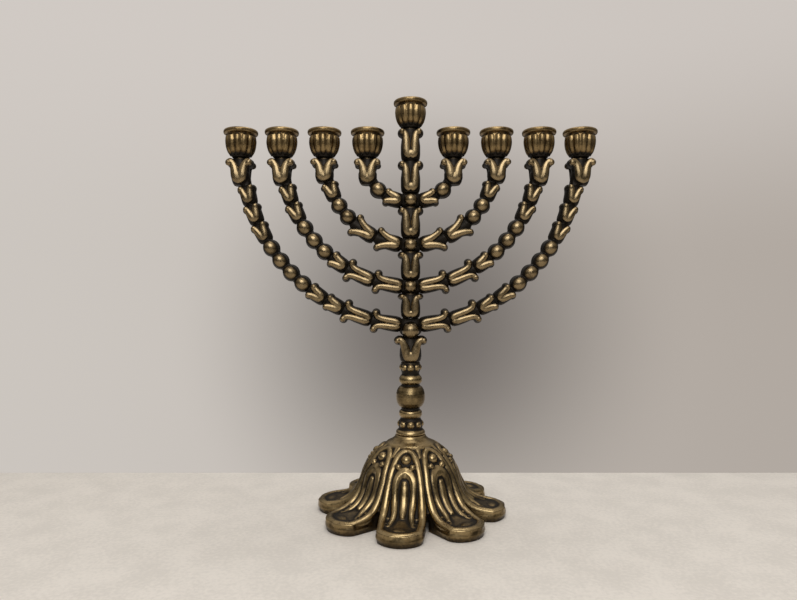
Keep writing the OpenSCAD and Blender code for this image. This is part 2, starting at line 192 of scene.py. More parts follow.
def reliefHeight(mesh, rounds):
    place, normal, edge = meshArrays(mesh)
    return ((place - spreadOut(edge, place, rounds)) * normal).sum(1)


def smoothStep(value, low, high):
    t = np.clip((value - low) / (high - low), 0, 1)
    return t * t * (3 - 2 * t)


# The attribute holds wear and hollow patina, and also painted shade inside the cup bores and low on the toe
# walls
def setWearAndShade(mesh, value):
    even = spreadOut(meshArrays(mesh)[2], np.clip(value, 0, 1), 2)
    rub = mesh.attributes.new("rub", "FLOAT", "POINT")
    rub.data.foreach_set("value", even.astype(np.float32))


def camelName(node):
    first, *rest = node.split("_")
    return first + "".join(word.title() for word in rest)


def finishPiece(piece, name, body, nodes, material):
    piece.name = name
    piece.data.name = name
    piece.data.transform(Matrix.Scale(mm, 4))
    piece.data.materials.clear()
    piece.data.materials.append(material)
    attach(piece, body)
    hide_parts(*nodes)


# Camera at the photograph's viewing angle

cameraSet = {"place": (-0.00504, -0.252, 0.0886), "lens": 27.1, "sensor": 36, "near": 0.005}


def makeCamera():
    clearSelection()
    bpy.ops.object.camera_add(location=cameraSet["place"], rotation=(math.radians(90), 0, 0))
    camera = bpy.context.object
    camera.data.lens = cameraSet["lens"]
    camera.data.sensor_width = cameraSet["sensor"]
    camera.data.clip_start = cameraSet["near"]
    bpy.context.scene.camera = camera


makeCamera()
print("camera placed")


# Materials: a mesh attribute runs from dark hollows at 0 to rubbed brass at 1; it also carries painted shade
# inside the cup bores and low on the toe walls

noiseSpan = (0.3, 0.7)          # where most of a noise texture's values lie
brassSet = {
    "hollow": (0.012, 0.009, 0.006, 1), "shade": (0.05, 0.036, 0.021, 1),
    "olive": (0.115, 0.083, 0.042, 1), "gold": (0.23, 0.164, 0.078, 1), "pale": (0.33, 0.243, 0.122, 1),
    "blotch": 190, "speckle": 900, "grit": 2600, "specular": 0.25,
    "wear": (0.12, 0.62), "wearSpeckle": (-0.1, 0.06), "shine": (0.55, 1.05), "shineBlotch": (-0.2, 0.2),
    "goldBlotch": (0.36, 0.64), "shadeWear": (0, 0.45), "goldWear": (0.3, 1),
    "metalWear": (0.05, 0.6), "metal": (0.6, 1),
    "roughWear": (0.1, 0.9), "rough": (0.46, 0.29), "roughSpeckle": (-0.03, 0.06),
    "bumpStrength": 0.04, "bumpDepth": 0.00012,
}
armBrassSet = dict(
    brassSet,
    olive=(0.075, 0.054, 0.028, 1), gold=(0.135, 0.097, 0.049, 1), pale=(0.24, 0.178, 0.097, 1),
)
cupBrassSet = dict(
    brassSet,
    olive=(0.069, 0.043, 0.018, 1), gold=(0.13, 0.084, 0.035, 1), pale=(0.235, 0.165, 0.078, 1),
)
steelSet = {
    "dark": (0.3, 0.29, 0.27, 1), "pale": (0.46, 0.45, 0.43, 1), "cloud": 500,
    "paleCloud": (0.35, 0.65), "rough": (0.32, 0.5),
}


def shaderNodes(name):
    material = bpy.data.materials.new(name)
    material.use_nodes = True
    tree = material.node_tree
    tree.nodes.clear()
    return material, tree


def noiseNode(tree, coordinate, scale, detail, rough=0.55):
    noise = tree.nodes.new("ShaderNodeTexNoise")
    noise.inputs["Scale"].default_value = scale
    noise.inputs["Detail"].default_value = detail
    noise.inputs["Roughness"].default_value = rough
    tree.links.new(coordinate, noise.inputs["Vector"])
    return noise.outputs["Fac"]


def spread(tree, value, low, high, toLow, toHigh):
    node = tree.nodes.new("ShaderNodeMapRange")
    node.interpolation_type = "SMOOTHSTEP"
    for key, number in (("From Min", low), ("From Max", high), ("To Min", toLow), ("To Max", toHigh)):
        node.inputs[key].default_value = number
    tree.links.new(value, node.inputs["Value"])
    return node.outputs["Result"]


def mathNode(tree, first, second, operation="ADD"):
    node = tree.nodes.new("ShaderNodeMath")
    node.operation = operation
    tree.links.new(first, node.inputs[0])
    tree.links.new(second, node.inputs[1])
    return node.outputs[0]


def blendColour(tree, share, first, second):
    node = tree.nodes.new("ShaderNodeMix")
    node.data_type = "RGBA"
    tree.links.new(share, node.inputs["Factor"])
    for key, part in ((6, first), (7, second)):          # the colour sockets A and B
        if isinstance(part, tuple):
            node.inputs[key].default_value = part
        else:
            tree.links.new(part, node.inputs[key])
    return node.outputs[2]


def antiqueBrass(name, tone):
    material, tree = shaderNodes(name)
    out = tree.nodes.new("ShaderNodeOutputMaterial")
    shader = tree.nodes.new("ShaderNodeBsdfPrincipled")
    shader.inputs["Specular IOR Level"].default_value = tone["specular"]
    tree.links.new(shader.outputs[0], out.inputs["Surface"])
    place = tree.nodes.new("ShaderNodeTexCoord").outputs["Object"]
    rub = tree.nodes.new("ShaderNodeAttribute")
    rub.attribute_name = "rub"
    blotch = noiseNode(tree, place, tone["blotch"], 4)
    speckle = noiseNode(tree, place, tone["speckle"], 4, 0.65)
    grit = noiseNode(tree, place, tone["grit"], 3)
    broken = mathNode(tree, rub.outputs["Fac"], spread(tree, speckle, *noiseSpan, *tone["wearSpeckle"]))
    worn = spread(tree, broken, *tone["wear"], 0, 1)
    patchy = mathNode(tree, broken, spread(tree, blotch, *noiseSpan, *tone["shineBlotch"]))
    bright = spread(tree, patchy, *tone["shine"], 0, 1)
    gold = blendColour(tree, spread(tree, blotch, *tone["goldBlotch"], 0, 1), tone["olive"], tone["gold"])
    gold = blendColour(tree, bright, gold, tone["pale"])
    edge = blendColour(tree, spread(tree, worn, *tone["shadeWear"], 0, 1), tone["hollow"], tone["shade"])
    colour = blendColour(tree, spread(tree, worn, *tone["goldWear"], 0, 1), edge, gold)
    tree.links.new(colour, shader.inputs["Base Color"])
    tree.links.new(spread(tree, worn, *tone["metalWear"], *tone["metal"]), shader.inputs["Metallic"])
    matte = spread(tree, worn, *tone["roughWear"], *tone["rough"])
    matte = mathNode(tree, matte, spread(tree, speckle, *noiseSpan, *tone["roughSpeckle"]))
    tree.links.new(matte, shader.inputs["Roughness"])
    bump = tree.nodes.new("ShaderNodeBump")
    bump.inputs["Strength"].default_value = tone["bumpStrength"]
    bump.inputs["Distance"].default_value = tone["bumpDepth"]
    tree.links.new(mathNode(tree, grit, blotch), bump.inputs["Height"])
    tree.links.new(bump.outputs[0], shader.inputs["Normal"])
    return material


def dullSteel(tone):
    material, tree = shaderNodes("dullSteel")
    out = tree.nodes.new("ShaderNodeOutputMaterial")
    shader = tree.nodes.new("ShaderNodeBsdfPrincipled")
    shader.inputs["Metallic"].default_value = 1
    tree.links.new(shader.outputs[0], out.inputs["Surface"])
    place = tree.nodes.new("ShaderNodeTexCoord").outputs["Object"]
    cloud = noiseNode(tree, place, tone["cloud"], 4)
    tint = blendColour(tree, spread(tree, cloud, *tone["paleCloud"], 0, 1), tone["dark"], tone["pale"])
    tree.links.new(tint, shader.inputs["Base Color"])
    tree.links.new(spread(tree, cloud, *noiseSpan, *tone["rough"]), shader.inputs["Roughness"])
    return material


brass = antiqueBrass("antiqueBrass", brassSet)
armBrass = antiqueBrass("armBrass", armBrassSet)
cupBrass = antiqueBrass("cupBrass", cupBrassSet)
steel = dullSteel(steelSet)
for nodeName in ("tie_rod", "washer", "clamp_nut"):
    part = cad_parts[nodeName]
    part.data.materials.clear()
    part.data.materials.append(steel)
print("materials made")


# Blossoms and beads: each is a dark body with a bright relief on its front and back

blossomSet = {
    "long": {
        "length": 12.4, "tip": 1.25, "crest": 4.5, "lip": (3.6, 10.9, 1.7), "palm": (2.4, 1.8),
        "rings": [(2.6, 0), (3.2, 1), (3.4, 2.6), (3.3, 6), (3.1, 8.4), (2.6, 10.4), (2.1, 12.4)],
        "prong": [
            (0.3, 1.3), (0.7, 1.4), (1.2, 2.3), (1.25, 4.2), (1.35, 7.2), (1.6, 9.1), (2.2, 10.5), (3.4, 11),
        ],
        "thick": [1.1, 1.25, 1.3, 1.25, 1.22, 1.15, 1.05, 1],
    },
    "fat": {
        "length": 12.4, "tip": 1.25, "crest": 4.5, "lip": (3.6, 10.6, 1.7), "palm": (3, 2.3),
        "rings": [(2.6, 0), (3.2, 1), (3.5, 2.6), (3.4, 6), (3, 8.4), (2.6, 10.4), (2.1, 12.4)],
        "prong": [
            (0.4, 1.2), (0.65, 1.7), (0.95, 3), (1.2, 4.6), (1.6, 6.3), (2.15, 8), (2.85, 9.5), (3.6, 10.6),
        ],
        "thick": [0.8, 1.4, 1.6, 1.55, 1.45, 1.35, 1.2, 1.15],
    },
    "short": {
        "length": 8.2, "tip": 1.25, "crest": 4.4, "lip": (2.5, 6.6, 1.5), "palm": (2.2, 1.7),
        "rings": [(2.6, 0), (3.1, 0.8), (3.3, 2), (3.4, 4.4), (3.4, 6), (2.8, 7.4), (2.2, 8.2)],
        "prong": [(0.35, 1.1), (0.55, 1.6), (0.9, 2.7), (1.15, 3.8), (1.4, 4.9), (1.65, 5.9), (2.05, 6.7)],
        "thick": [0.8, 1.3, 1.5, 1.45, 1.4, 1.3, 1.2],
    },
    "calyx": {
        "length": 11.4, "tip": 1.4, "crest": 5, "lip": (3.7, 9.1, 1.8), "palm": (2.8, 2.4),
        "rings": [
            (2.6, 0), (3.4, 1.2), (3.9, 3), (3.9, 5), (3.3, 6.4), (2.8, 8), (2.5, 10.2), (2.5, 11.4),
        ],
        "prong": [
            (0.6, 1.2), (0.9, 1.9), (1.25, 3.3), (1.45, 4.8), (1.7, 6.2), (2.1, 7.6), (2.9, 9.1), (3.7, 9.7),
            (4.2, 9),
        ],
        "thick": [1, 1.7, 2.05, 2, 1.85, 1.65, 1.4, 1.35, 1.35],
    },
    "column": {
        "length": 12.8, "tip": 1.2, "crest": 5, "lip": (3.7, 11.1, 1.75), "palm": (2.4, 1.6),
        "rings": [(3.3, 0), (3.9, 1), (4.1, 2.8), (4.1, 6), (3.7, 9), (3, 11), (2.8, 12.8)],
        "prong": [
            (0.3, 1.5), (0.9, 1.6), (1.6, 2.7), (1.75, 5), (1.85, 7.6), (2, 9.4), (2.5, 10.8), (3.5, 11.1),
        ],
        "thick": [1.2, 1.4, 1.65, 1.65, 1.55, 1.35, 1.15, 1.05],
    },
    "lily": {
        "length": 11.1, "tip": 1.3, "crest": 5.4, "lip": (5.1, 9, 1.9), "palm": (2.7, 2.3),
        "rings": [(3.7, 0), (4.3, 0.8), (4.6, 2.4), (4.5, 5), (4, 7.4), (3.4, 9.4), (3, 11.1)],
        "prong": [
            (0.7, 1), (1.1, 1.7), (1.6, 3.3), (2.05, 5), (2.5, 6.8), (3.2, 8.5), (4.3, 9.5), (5.4, 9.2),
        ],
        "thick": [1, 1.7, 1.95, 1.85, 1.65, 1.45, 1.3, 1.25],
    },
}
# Flats are heights against widths, and sinks are depths below the crest
forkSet = {
    "sides": 40, "prongFlat": 0.6, "palmFlat": 0.4, "palmSink": 0.15,
    "underFrom": 2, "underShare": 0.95, "underSink": 1.5, "lipSink": 1.3,
}
beadSet = {"length": 6.5, "body": 3.6, "ball": 3.2, "crest": 4.6, "egg": 1.15}


def forkedBlossom(settings):
    parts = [ringBody(settings["rings"], forkSet["sides"])]
    thick, crest = settings["thick"], settings["crest"]
    lipX, lipZ, lipR = settings["lip"]
    palmZ, palmR = settings["palm"]
    tipX, tipZ = settings["prong"][-1]
    flat = forkSet["prongFlat"]
    for side in (-1, 1):
        path = [(side * x, 0, z) for x, z in settings["prong"]]
        prong = ridgeTube(path, thick)
        for face in (-1, 1):
            deep = Matrix.Translation((0, face * (crest - max(thick) * flat), 0))
            parts.append(placeCopy(prong, deep @ Matrix.Scale(flat, 4, (0, 1, 0))))
            parts.append(ball((side * tipX, face * (crest - settings["tip"]), tipZ), settings["tip"]))
        bpy.data.objects.remove(prong)
        under = [(x * forkSet["underShare"], y, z) for x, y, z in path[forkSet["underFrom"]:]]
        wide = ridgeTube(under, [lipR] * len(under))
        wide.data.transform(Matrix.Scale((crest - forkSet["underSink"]) / lipR, 4, (0, 1, 0)))
        parts.append(wide)
        parts.append(ball((side * lipX, 0, lipZ), lipR, (1, (crest - forkSet["lipSink"]) / lipR, 1)))
    flat = forkSet["palmFlat"]
    for face in (-1, 1):
        deep = crest - forkSet["palmSink"] - palmR * flat
        parts.append(ball((0, face * deep, palmZ), palmR, (1, flat, 1)))
    return joinPieces(parts)


def armBead(settings):
    middle = settings["length"] / 2
    parts = [ball((0, 0, middle), settings["body"])]
    for face in (-1, 1):
        deep = face * (settings["crest"] - settings["ball"])
        parts.append(ball((0, deep, middle), settings["ball"], (1, 1, settings["egg"])))
    return joinPieces(parts)


patterns = {kind: forkedBlossom(settings) for kind, settings in blossomSet.items()}
patterns["bead"] = armBead(beadSet)
patternLength = {kind: settings["length"] for kind, settings in blossomSet.items()}
patternLength["bead"] = beadSet["length"]
print("blossom patterns modelled")


# Arms: patterns strung on an arc from the hub to the cup

armSet = {
    "order": {
        1: ["short", "bead", "calyx"],
        2: ["fat", "fat", "bead", "bead", "short", "calyx"],
        3: ["long", "long", "short", "bead", "bead", "bead", "short", "short", "calyx"],
        4: ["long", "long", "short", "short"] + ["bead"] * 4 + ["short", "short", "short", "calyx"],
    },
    "shift": {1: None, 2: 0, 3: 1, 4: 1.5}, "inset": {1: 1.5, 2: 1.2, 3: 1.6, 4: 1}, "slack": 0.1,
    "cupOut": 1.1, "hubHalf": 2.9, "core": 2.3, "coreStep": 4, "coreSteps": 6, "coreShort": 3,
    "grain": 0.17, "soften": 12, "faces": 52000,
    "creaseRounds": 18, "crease": (-0.1, 0.01), "flank": (3.3, 4),
    "proudRounds": 60, "proud": (0.08, 0.38), "sideFloor": 0.13, "sideTone": 0.34,
}


class ArmPath:
    def __init__(self, number):
        hubHigh = boxOf(f"hub_{number}")[1]
        cupLow, cupHigh = boxOf(f"cup_{number}_right")
        self.face = hubHigh.x - armSet["inset"][number]
        self.hubZ = hubHigh.z - armSet["hubHalf"]
        self.cupX = (cupLow.x + cupHigh.x) / 2
        self.seatZ = boxOf(f"arm_{number}_right")[1].z
        reach = self.cupX - armSet["cupOut"] * number / 4
        shift = armSet["shift"][number]
        if shift is None:                                # a quarter turn that starts at the hub
            self.bend = reach - self.face + armSet["slack"]
            self.middleX = reach - self.bend
            rise = self.bend
        else:                                            # an arc about a centre near the column
            self.bend = reach + shift
            self.middleX = reach - self.bend
            rise = math.sqrt(self.bend ** 2 - self.middleX ** 2)
        self.middleZ = self.hubZ + rise
        self.first = math.asin((self.face - self.middleX) / self.bend)
        short = (self.middleZ - self.seatZ) / self.bend
        self.last = math.acos(short) if short > 0 else math.pi / 2
        self.arc = (self.last - self.first) * self.bend
        self.length = self.arc + max(0, self.seatZ - self.middleZ)

    def at(self, along):
        angle = min(self.last, self.first + along / self.bend)
        x = self.middleX + self.bend * math.sin(angle)
        z = self.middleZ - self.bend * math.cos(angle) + max(0, along - self.arc)
        return x, z, angle


def stringArm(number):
    path = ArmPath(number)
    order = armSet["order"][number]
    unit = path.length / sum(patternLength[kind] for kind in order)
    steps = max(armSet["coreSteps"], round(path.length / armSet["coreStep"]))
    spots = [path.at(path.length * i / steps) for i in range(steps + 1)]
    spots = [(x, 0, z) for x, z, angle in spots if z < path.seatZ - armSet["coreShort"]]
    parts = [ridgeTube(spots, [armSet["core"]] * len(spots))]
    stretch = Matrix.Scale(unit, 4, (0, 0, 1))
    start = 0
    for kind in order:
        long = patternLength[kind] * unit
        x, z, angle = path.at(start + long / 2)
        if kind == "calyx":                              # the calyx stands upright under its cup
            x, z, angle = path.cupX, path.seatZ - long / 2, math.pi / 2
        turn = Matrix.Rotation(math.pi / 2 - angle, 4, "Y")
        foot = Vector((x - math.cos(angle) * long / 2, 0, z - math.sin(angle) * long / 2))
        parts.append(placeCopy(patterns[kind], Matrix.Translation(foot) @ turn @ stretch))
        start += long
    return castSkin(joinPieces(parts), armSet["grain"], armSet["soften"])


def rubFlatFaces(piece, flank):
    mesh = piece.data
    depth = np.abs(meshArrays(mesh)[0][:, 1])
    crease = smoothStep(reliefHeight(mesh, armSet["creaseRounds"]), *armSet["crease"])
    proud = smoothStep(reliefHeight(mesh, armSet["proudRounds"]), *armSet["proud"])
    side = armSet["sideFloor"] + armSet["sideTone"] * proud
    setWearAndShade(mesh, crease * (side + (1 - side) * smoothStep(depth, *flank)))


for number in armSet["order"]:
    right = stringArm(number)
    rubFlatFaces(right, armSet["flank"])
    thinOut(right, armSet["faces"])
    left = placeCopy(right, Matrix.Scale(-1, 4, (1, 0, 0)))
    left.data.flip_normals()
    for side, piece in (("right", right), ("left", left)):
        node = f"arm_{number}_{side}"
        finishPiece(piece, camelName(node), "branches", [node], armBrass)
    print("arm pair", number, len(right.data.polygons), "faces")


# Column: hubs with balls and the blossoms between them

columnSet = {
    "grain": 0.18, "soften": 8, "block": 3.1, "overlapX": 0.4, "overlapZ": 1,
    "lowHub": {"ball": 3.7, "drop": 2.3, "flank": (2.6, 3.8)},
    "hub": {"ball": 2.8, "drop": 0, "flank": (2.7, 3.4)},
    "lily": {"kind": "lily", "stack": 1, "flank": (4, 4.8)},
    "column": {"kind": "column", "stack": 1, "flank": (3.5, 4.5)},
    "pair": {"kind": "column", "stack": 2, "flank": (3.5, 4.5)},
    "hubs": {"hub_4": "lowHub", "hub_3": "hub", "hub_2": "hub", "hub_1": "hub"},
    "blossoms": {
        "low_blossom": "lily", "column_43": "column", "column_32": "column", "column_21": "column",
        "top_column": "pair",
    },
}


def makeHub(node, settings):
    low, high = boxOf(node)
    radius = settings["ball"]
    middle = high.z - armSet["hubHalf"] - settings["drop"]
    wide = (high.x - low.x) / 2 + columnSet["overlapX"]
    tall = (high.z - low.z) / 2 + columnSet["overlapZ"]
    parts = [ball((0, 0, (low.z + high.z) / 2), 1, (wide, columnSet["block"], tall))]
    for face in (-1, 1):
        parts.append(ball((0, face * (high.y - radius), middle), radius))
    return castSkin(joinPieces(parts), columnSet["grain"], columnSet["soften"])


def makeBlossoms(node, settings):
    low, high = boxOf(node)
    kind = settings["kind"]
    long = (high.z - low.z) / settings["stack"]
    stretch = Matrix.Scale(long / patternLength[kind], 4, (0, 0, 1))
    parts = []
    for i in range(settings["stack"]):
        parts.append(placeCopy(patterns[kind], Matrix.Translation((0, 0, low.z + i * long)) @ stretch))
    return castSkin(joinPieces(parts), columnSet["grain"], columnSet["soften"])


for group, maker in (("hubs", makeHub), ("blossoms", makeBlossoms)):
    for node, kind in columnSet[group].items():
        piece = maker(node, columnSet[kind])
        rubFlatFaces(piece, columnSet[kind]["flank"])
        finishPiece(piece, camelName(node), "branches", [node], armBrass)
for pattern in patterns.values():
    bpy.data.objects.remove(pattern)
print("column modelled")


# Stem: a turning with two rows of beads

stemSet = {
    "rings": [
        (5.6, 0), (6.1, 0.3), (6.2, 0.9), (5.9, 1.6), (5.3, 2.1),
        (4.95, 2.5), (4.85, 4.4), (4.65, 6), (4.3, 6.5), (4.1, 6.9),
        (4.5, 7.5), (4.85, 8.2), (4.85, 9.2), (4.6, 9.9), (3.8, 10.4),
        (3.9, 11.1), (5, 12), (5.7, 13.2), (6.05, 14.6), (6.1, 15.8), (6, 17.2), (5.6, 18.6), (4.9, 19.8),
        (4, 20.4), (3.7, 20.8), (4.3, 21.4), (4.8, 22.1), (4.85, 22.8), (4.75, 23.6), (4.3, 24.4),
        (3.7, 25), (3.7, 25.8), (3.9, 26.4), (4, 28), (4, 29.5), (4, 29.9), (3.9, 30.2),
    ],
    "beads": 8, "beadSize": 1.6, "lowRow": (4, 4.4), "highRow": (3.15, 28), "grain": 0.2, "soften": 2,
    "creaseRounds": 14, "crease": (-0.07, 0.03), "broadRounds": 60, "broad": (-0.2, 0.1), "broadFloor": 0.3,
    "lowBand": (2.5, 6.8, 4.8), "highBand": (25.2, 30.2, 3.95), "bandStep": 0.25, "bandFloor": 0.25,
    "ballFoot": 10.6, "ballTop": 20.6, "ballTone": 0.62,
}


def makeStem():
    size = stemSet["beadSize"]
    parts = [ringBody(stemSet["rings"])]
    for radius, height in (stemSet["lowRow"], stemSet["highRow"]):
        for i in range(stemSet["beads"]):
            turn = math.tau * i / stemSet["beads"]
            parts.append(ball((radius * math.sin(turn), -radius * math.cos(turn), height), size))
    stem = joinPieces(parts)
    stem.data.transform(Matrix.Translation((0, 0, boxOf("stem")[0].z)))
    return castSkin(stem, stemSet["grain"], stemSet["soften"])


def rubStem(mesh):
    crease = smoothStep(reliefHeight(mesh, stemSet["creaseRounds"]), *stemSet["crease"])
    broad = smoothStep(reliefHeight(mesh, stemSet["broadRounds"]), *stemSet["broad"])
    rub = crease * (stemSet["broadFloor"] + (1 - stemSet["broadFloor"]) * broad)
    place = meshArrays(mesh)[0]
    radius = np.hypot(place[:, 0], place[:, 1])
    rise = place[:, 2] - boxOf("stem")[0].z
    floor = stemSet["bandFloor"]
    for low, high, reach in (stemSet["lowBand"], stemSet["highBand"]):
        inBand = (rise > low) & (rise < high)
        onBead = smoothStep(radius[inBand], reach, reach + stemSet["bandStep"])
        rub[inBand] *= floor + (1 - floor) * onBead
    onBall = (rise > stemSet["ballFoot"]) & (rise < stemSet["ballTop"])
    rub[onBall] *= stemSet["ballTone"]
    setWearAndShade(mesh, rub)


stem = makeStem()
rubStem(stem.data)
finishPiece(stem, "stemTurning", "branches", ["stem"], brass)
print("stem modelled")


# Cups: a lobed bowl under a rounded rim

cupSet = {
    "rings": [
        (3.2, 0), (3.6, 0.3), (3.8, 0.9), (4.3, 1.7), (5, 2.8), (5.5, 4.2), (5.75, 5.8), (5.8, 7.6),
        (5.75, 9.1), (5.8, 9.6), (6.35, 9.8), (6.9, 10.05), (7.1, 10.5), (7.1, 11.1), (6.9, 11.5),
        (6.5, 11.75), (6, 11.8), (5.5, 11.7), (5.25, 11.4), (5.2, 10.8), (5.2, 7), (5.2, 4.8), (4.8, 4.4),
        (0.5, 4.4),
    ],
    "sides": 64, "height": 11.8, "lobes": 12, "proud": 0.55,
    "lobePath": [(3.9, 0.9), (4.5, 1.9), (5.2, 3.1), (5.7, 4.6), (6, 6.2), (6.05, 7.7), (5.85, 9)],
    "lobeSize": [0.5, 1.05, 1.45, 1.65, 1.7, 1.6, 1.1],
    "boreFoot": 4, "boreWall": 5.5, "grain": 0.19, "soften": 2, "faces": 25000,
    "creaseRounds": 14, "crease": (-0.17, -0.03), "footTone": (0.9, 2.6),
    # boreEdge, boreFloor and boreTop mark the inside of the bore, which the last key darkens as painted shade
    "boreEdge": (5.3, 5.6), "boreFloor": (4, 4.3), "boreTop": (10.6, 11.4), "boreShade": 0.75,
}


def makeCup():
    parts = [ringBody(cupSet["rings"], cupSet["sides"])]
    proud, sizes = cupSet["proud"], cupSet["lobeSize"]
    path = [(radius + proud - size, 0, height) for (radius, height), size in zip(cupSet["lobePath"], sizes)]
    lobe = ridgeTube(path, sizes)
    for vertex in lobe.data.vertices:
        x, y, z = vertex.co
        if z > cupSet["boreFoot"]:                       # keeps the bore for the candle clear
            out = max(1, cupSet["boreWall"] / math.hypot(x, y))
            vertex.co = (x * out, y * out, z)
    for i in range(cupSet["lobes"]):
        turn = math.tau * i / cupSet["lobes"] - math.pi / 2
        parts.append(placeCopy(lobe, Matrix.Rotation(turn, 4, "Z")))
    bpy.data.objects.remove(lobe)
    return castSkin(joinPieces(parts), cupSet["grain"], cupSet["soften"])


def wearAndShadeCup(mesh):
    place = meshArrays(mesh)[0]
    height = place[:, 2]
    # Painted shade: the inside of the candle bore is darkened
    inBore = 1 - smoothStep(np.hypot(place[:, 0], place[:, 1]), *cupSet["boreEdge"])
    inBore *= smoothStep(height, *cupSet["boreFloor"])
    inBore *= 1 - smoothStep(height, *cupSet["boreTop"])
    crease = smoothStep(reliefHeight(mesh, cupSet["creaseRounds"]), *cupSet["crease"])
    setWearAndShade(mesh, crease * smoothStep(height, *cupSet["footTone"]) * (1 - cupSet["boreShade"] * inBore))


cup = makeCup()
wearAndShadeCup(cup.data)
thinOut(cup, cupSet["faces"])
cupNodes = ["cup_top"] + [f"cup_{number}_{side}" for number in armSet["order"] for side in ("left", "right")]
for node in cupNodes:
    low, high = boxOf(node)
    spot = ((low.x + high.x) / 2, 0, high.z - cupSet["height"])
    piece = placeCopy(cup, Matrix.Translation(spot))
    finishPiece(piece, camelName(node), "branches", [node], cupBrass)
bpy.data.objects.remove(cup)
print("cups modelled")


# Base: a bell with eight petals in relief
# The bell's section is a dome that meets a hollow flare at the waist, then a flat toe
# On a petal a spot is given by its distance out along the petal's axis and its distance across

baseSet = {
    "domeR": 21.7, "domeZ": 10.2, "waistR": 21.22, "flareR": 12.75, "flareX": 33.6, "flareZ": 17.55,
    "steps": [2, 4, 6, 8, 10, 12, 13.5, 15, 16.3, 17.5, 18.5, 19.3, 20, 20.6, 21.3, 22, 22.9, 24, 25.2],
    "sink": 0.9, "wall": 2.4, "ceiling": 28.4, "boreR": 0.5, "capR": 11, "capFrom": 6, "capSink": 0.1,
    "collar": [(6.7, 31.4), (6.5, 31.9), (6.2, 32.4)], "sides": 96,
    "petals": 8, "turn": -8, "halfWidth": 9.1, "toeR": 10.5, "reach": 39.6,
    "grain": 0.25, "soften": 2, "faces": 97000,
    # the sheet, wall and roll of a petal
    "sheetFrom": 20, "sheetShort": 0.6, "sheetInset": 0.5, "sheetLeast": 0.2, "sheetThick": 2,
    "toeSink": 0.4, "toeRamp": (26, 31), "wallFrom": (21.8, 24, 26.5, 29), "rim": 1.6, "wallHalf": 1,
    "foot": -0.4, "wallSink": 1.1, "toePoints": 8,
    "roll": [(24.5, 6.9), (27, 6.9), (30, 6.9)], "rollSize": [1, 1.7, 2.1], "toeRoll": 2.2, "rollHeight": 2.1,
    # the relief on a petal
    "deepest": 2.4,
    "border": [
        (11.5, 0), (12, 1.4), (13, 2.8), (14.7, 4.3), (18.2, 5.9), (19.8, 6.8), (23.5, 7.6), (28, 7.7),
    ],
    "borderSize": 1.6, "borderLift": -1.4, "borderInset": 2.05,
    "web": [(10.6, 2.4), (11.8, 2.2), (12.8, 1.8), (13.8, 1.2), (15, 0.6)], "webLift": -0.1,
    "arch": [
        (29.4, 4.6), (28, 3.7), (25.2, 3.3), (23, 3.6), (21.3, 3.9), (20, 3.9), (19.2, 3), (18.7, 1.5),
        (18.5, 0),
    ],
    "archSize": [0.9, 1.1, 1.3, 1.5, 1.7, 2, 2.6, 3.2, 3.5], "archLift": 0.1,
    "spindle": [20.2, 20.5, 21.2, 22.3, 24, 25.6, 26.8], "spindleSize": [0.7, 1.6, 2.2, 2.4, 2.1, 1.5, 0.7],
    "scroll": [(28.8, 3.9), (30, 4.2), (30.9, 5.1), (30.5, 6.1), (29.5, 6.2), (28.9, 5.5)],
    "scrollSize": 0.65, "scrollSink": 0.3, "bead": (15, 2.15), "beadLift": 0.65,
    "smallBead": (17.1, 2.9, 1.25), "smallBeadLift": 0.1, "dot": (26.6, 5.5, 0.7),
    "boss": (33.8, 2.8, 1.9), "bossSink": 0.5,
    # where the brass is rubbed, and painted shade that darkens the toe walls toward the floor
    "creaseRounds": 10, "crease": (-0.1, 0), "broadRounds": 50, "broad": (-0.2, 0.12), "broadFloor": 0.28,
    "wallStart": (22, 26), "wallTop": (3.4, 4.6), "wallShadeFloor": 0.06, "wallShading": 0.54, "wallShadeRise": (0.3, 3.6),
    "flatEdge": (2.4, 3.1), "flatFrom": (26.5, 29.5), "flatHeight": (2.8, 3.6), "flatDim": 0.45,
    "bossEdge": (0.7, 0.95), "bossHeight": (3.4, 3.8), "bossTone": 0.55,
    "capEdge": (10.2, 11.4), "capHeight": (28, 28.6), "capTone": 0.75,
}


def bellAt(radius, sink):
    if radius < baseSet["waistR"]:
        rise = math.sqrt(baseSet["domeR"] ** 2 - radius ** 2)
        normal = (radius / baseSet["domeR"], rise / baseSet["domeR"])
        height = baseSet["domeZ"] + rise
    elif radius < baseSet["flareX"]:
        out = radius - baseSet["flareX"]
        drop = math.sqrt(baseSet["flareR"] ** 2 - out ** 2)
        normal = (-out / baseSet["flareR"], drop / baseSet["flareR"])
        height = baseSet["flareZ"] - drop
    else:
        normal = (0, 1)
        height = baseSet["flareZ"] - baseSet["flareR"]
    return radius - normal[0] * sink, height - normal[1] * sink


def onBell(out, across, lift):
    radius = math.hypot(out, across)
    newRadius, height = bellAt(radius, -lift)
    return across / radius * newRadius, -out / radius * newRadius, height


def bellRings():
    steps, sink, ceiling = baseSet["steps"], baseSet["sink"], baseSet["ceiling"]
    outer = [bellAt(radius, sink) for radius in steps if radius > baseSet["capR"]]
    cap = [bellAt(r, baseSet["capSink"]) for r in steps if baseSet["capFrom"] < r < baseSet["capR"]]
    inner = [bellAt(radius, sink + baseSet["wall"]) for radius in steps]
    inner = [(radius, min(height, ceiling)) for radius, height in inner]
    top = baseSet["collar"] + [(baseSet["boreR"], baseSet["collar"][-1][1])]
    return [(baseSet["boreR"], ceiling)] + inner + outer[::-1] + cap[::-1] + top


def toeMiddle():
    return baseSet["reach"] - baseSet["toeR"]


def petalWidth(out):
    past = max(out - toeMiddle(), 0)
    return min(baseSet["halfWidth"], math.sqrt(max(baseSet["toeR"] ** 2 - past ** 2, 0)))


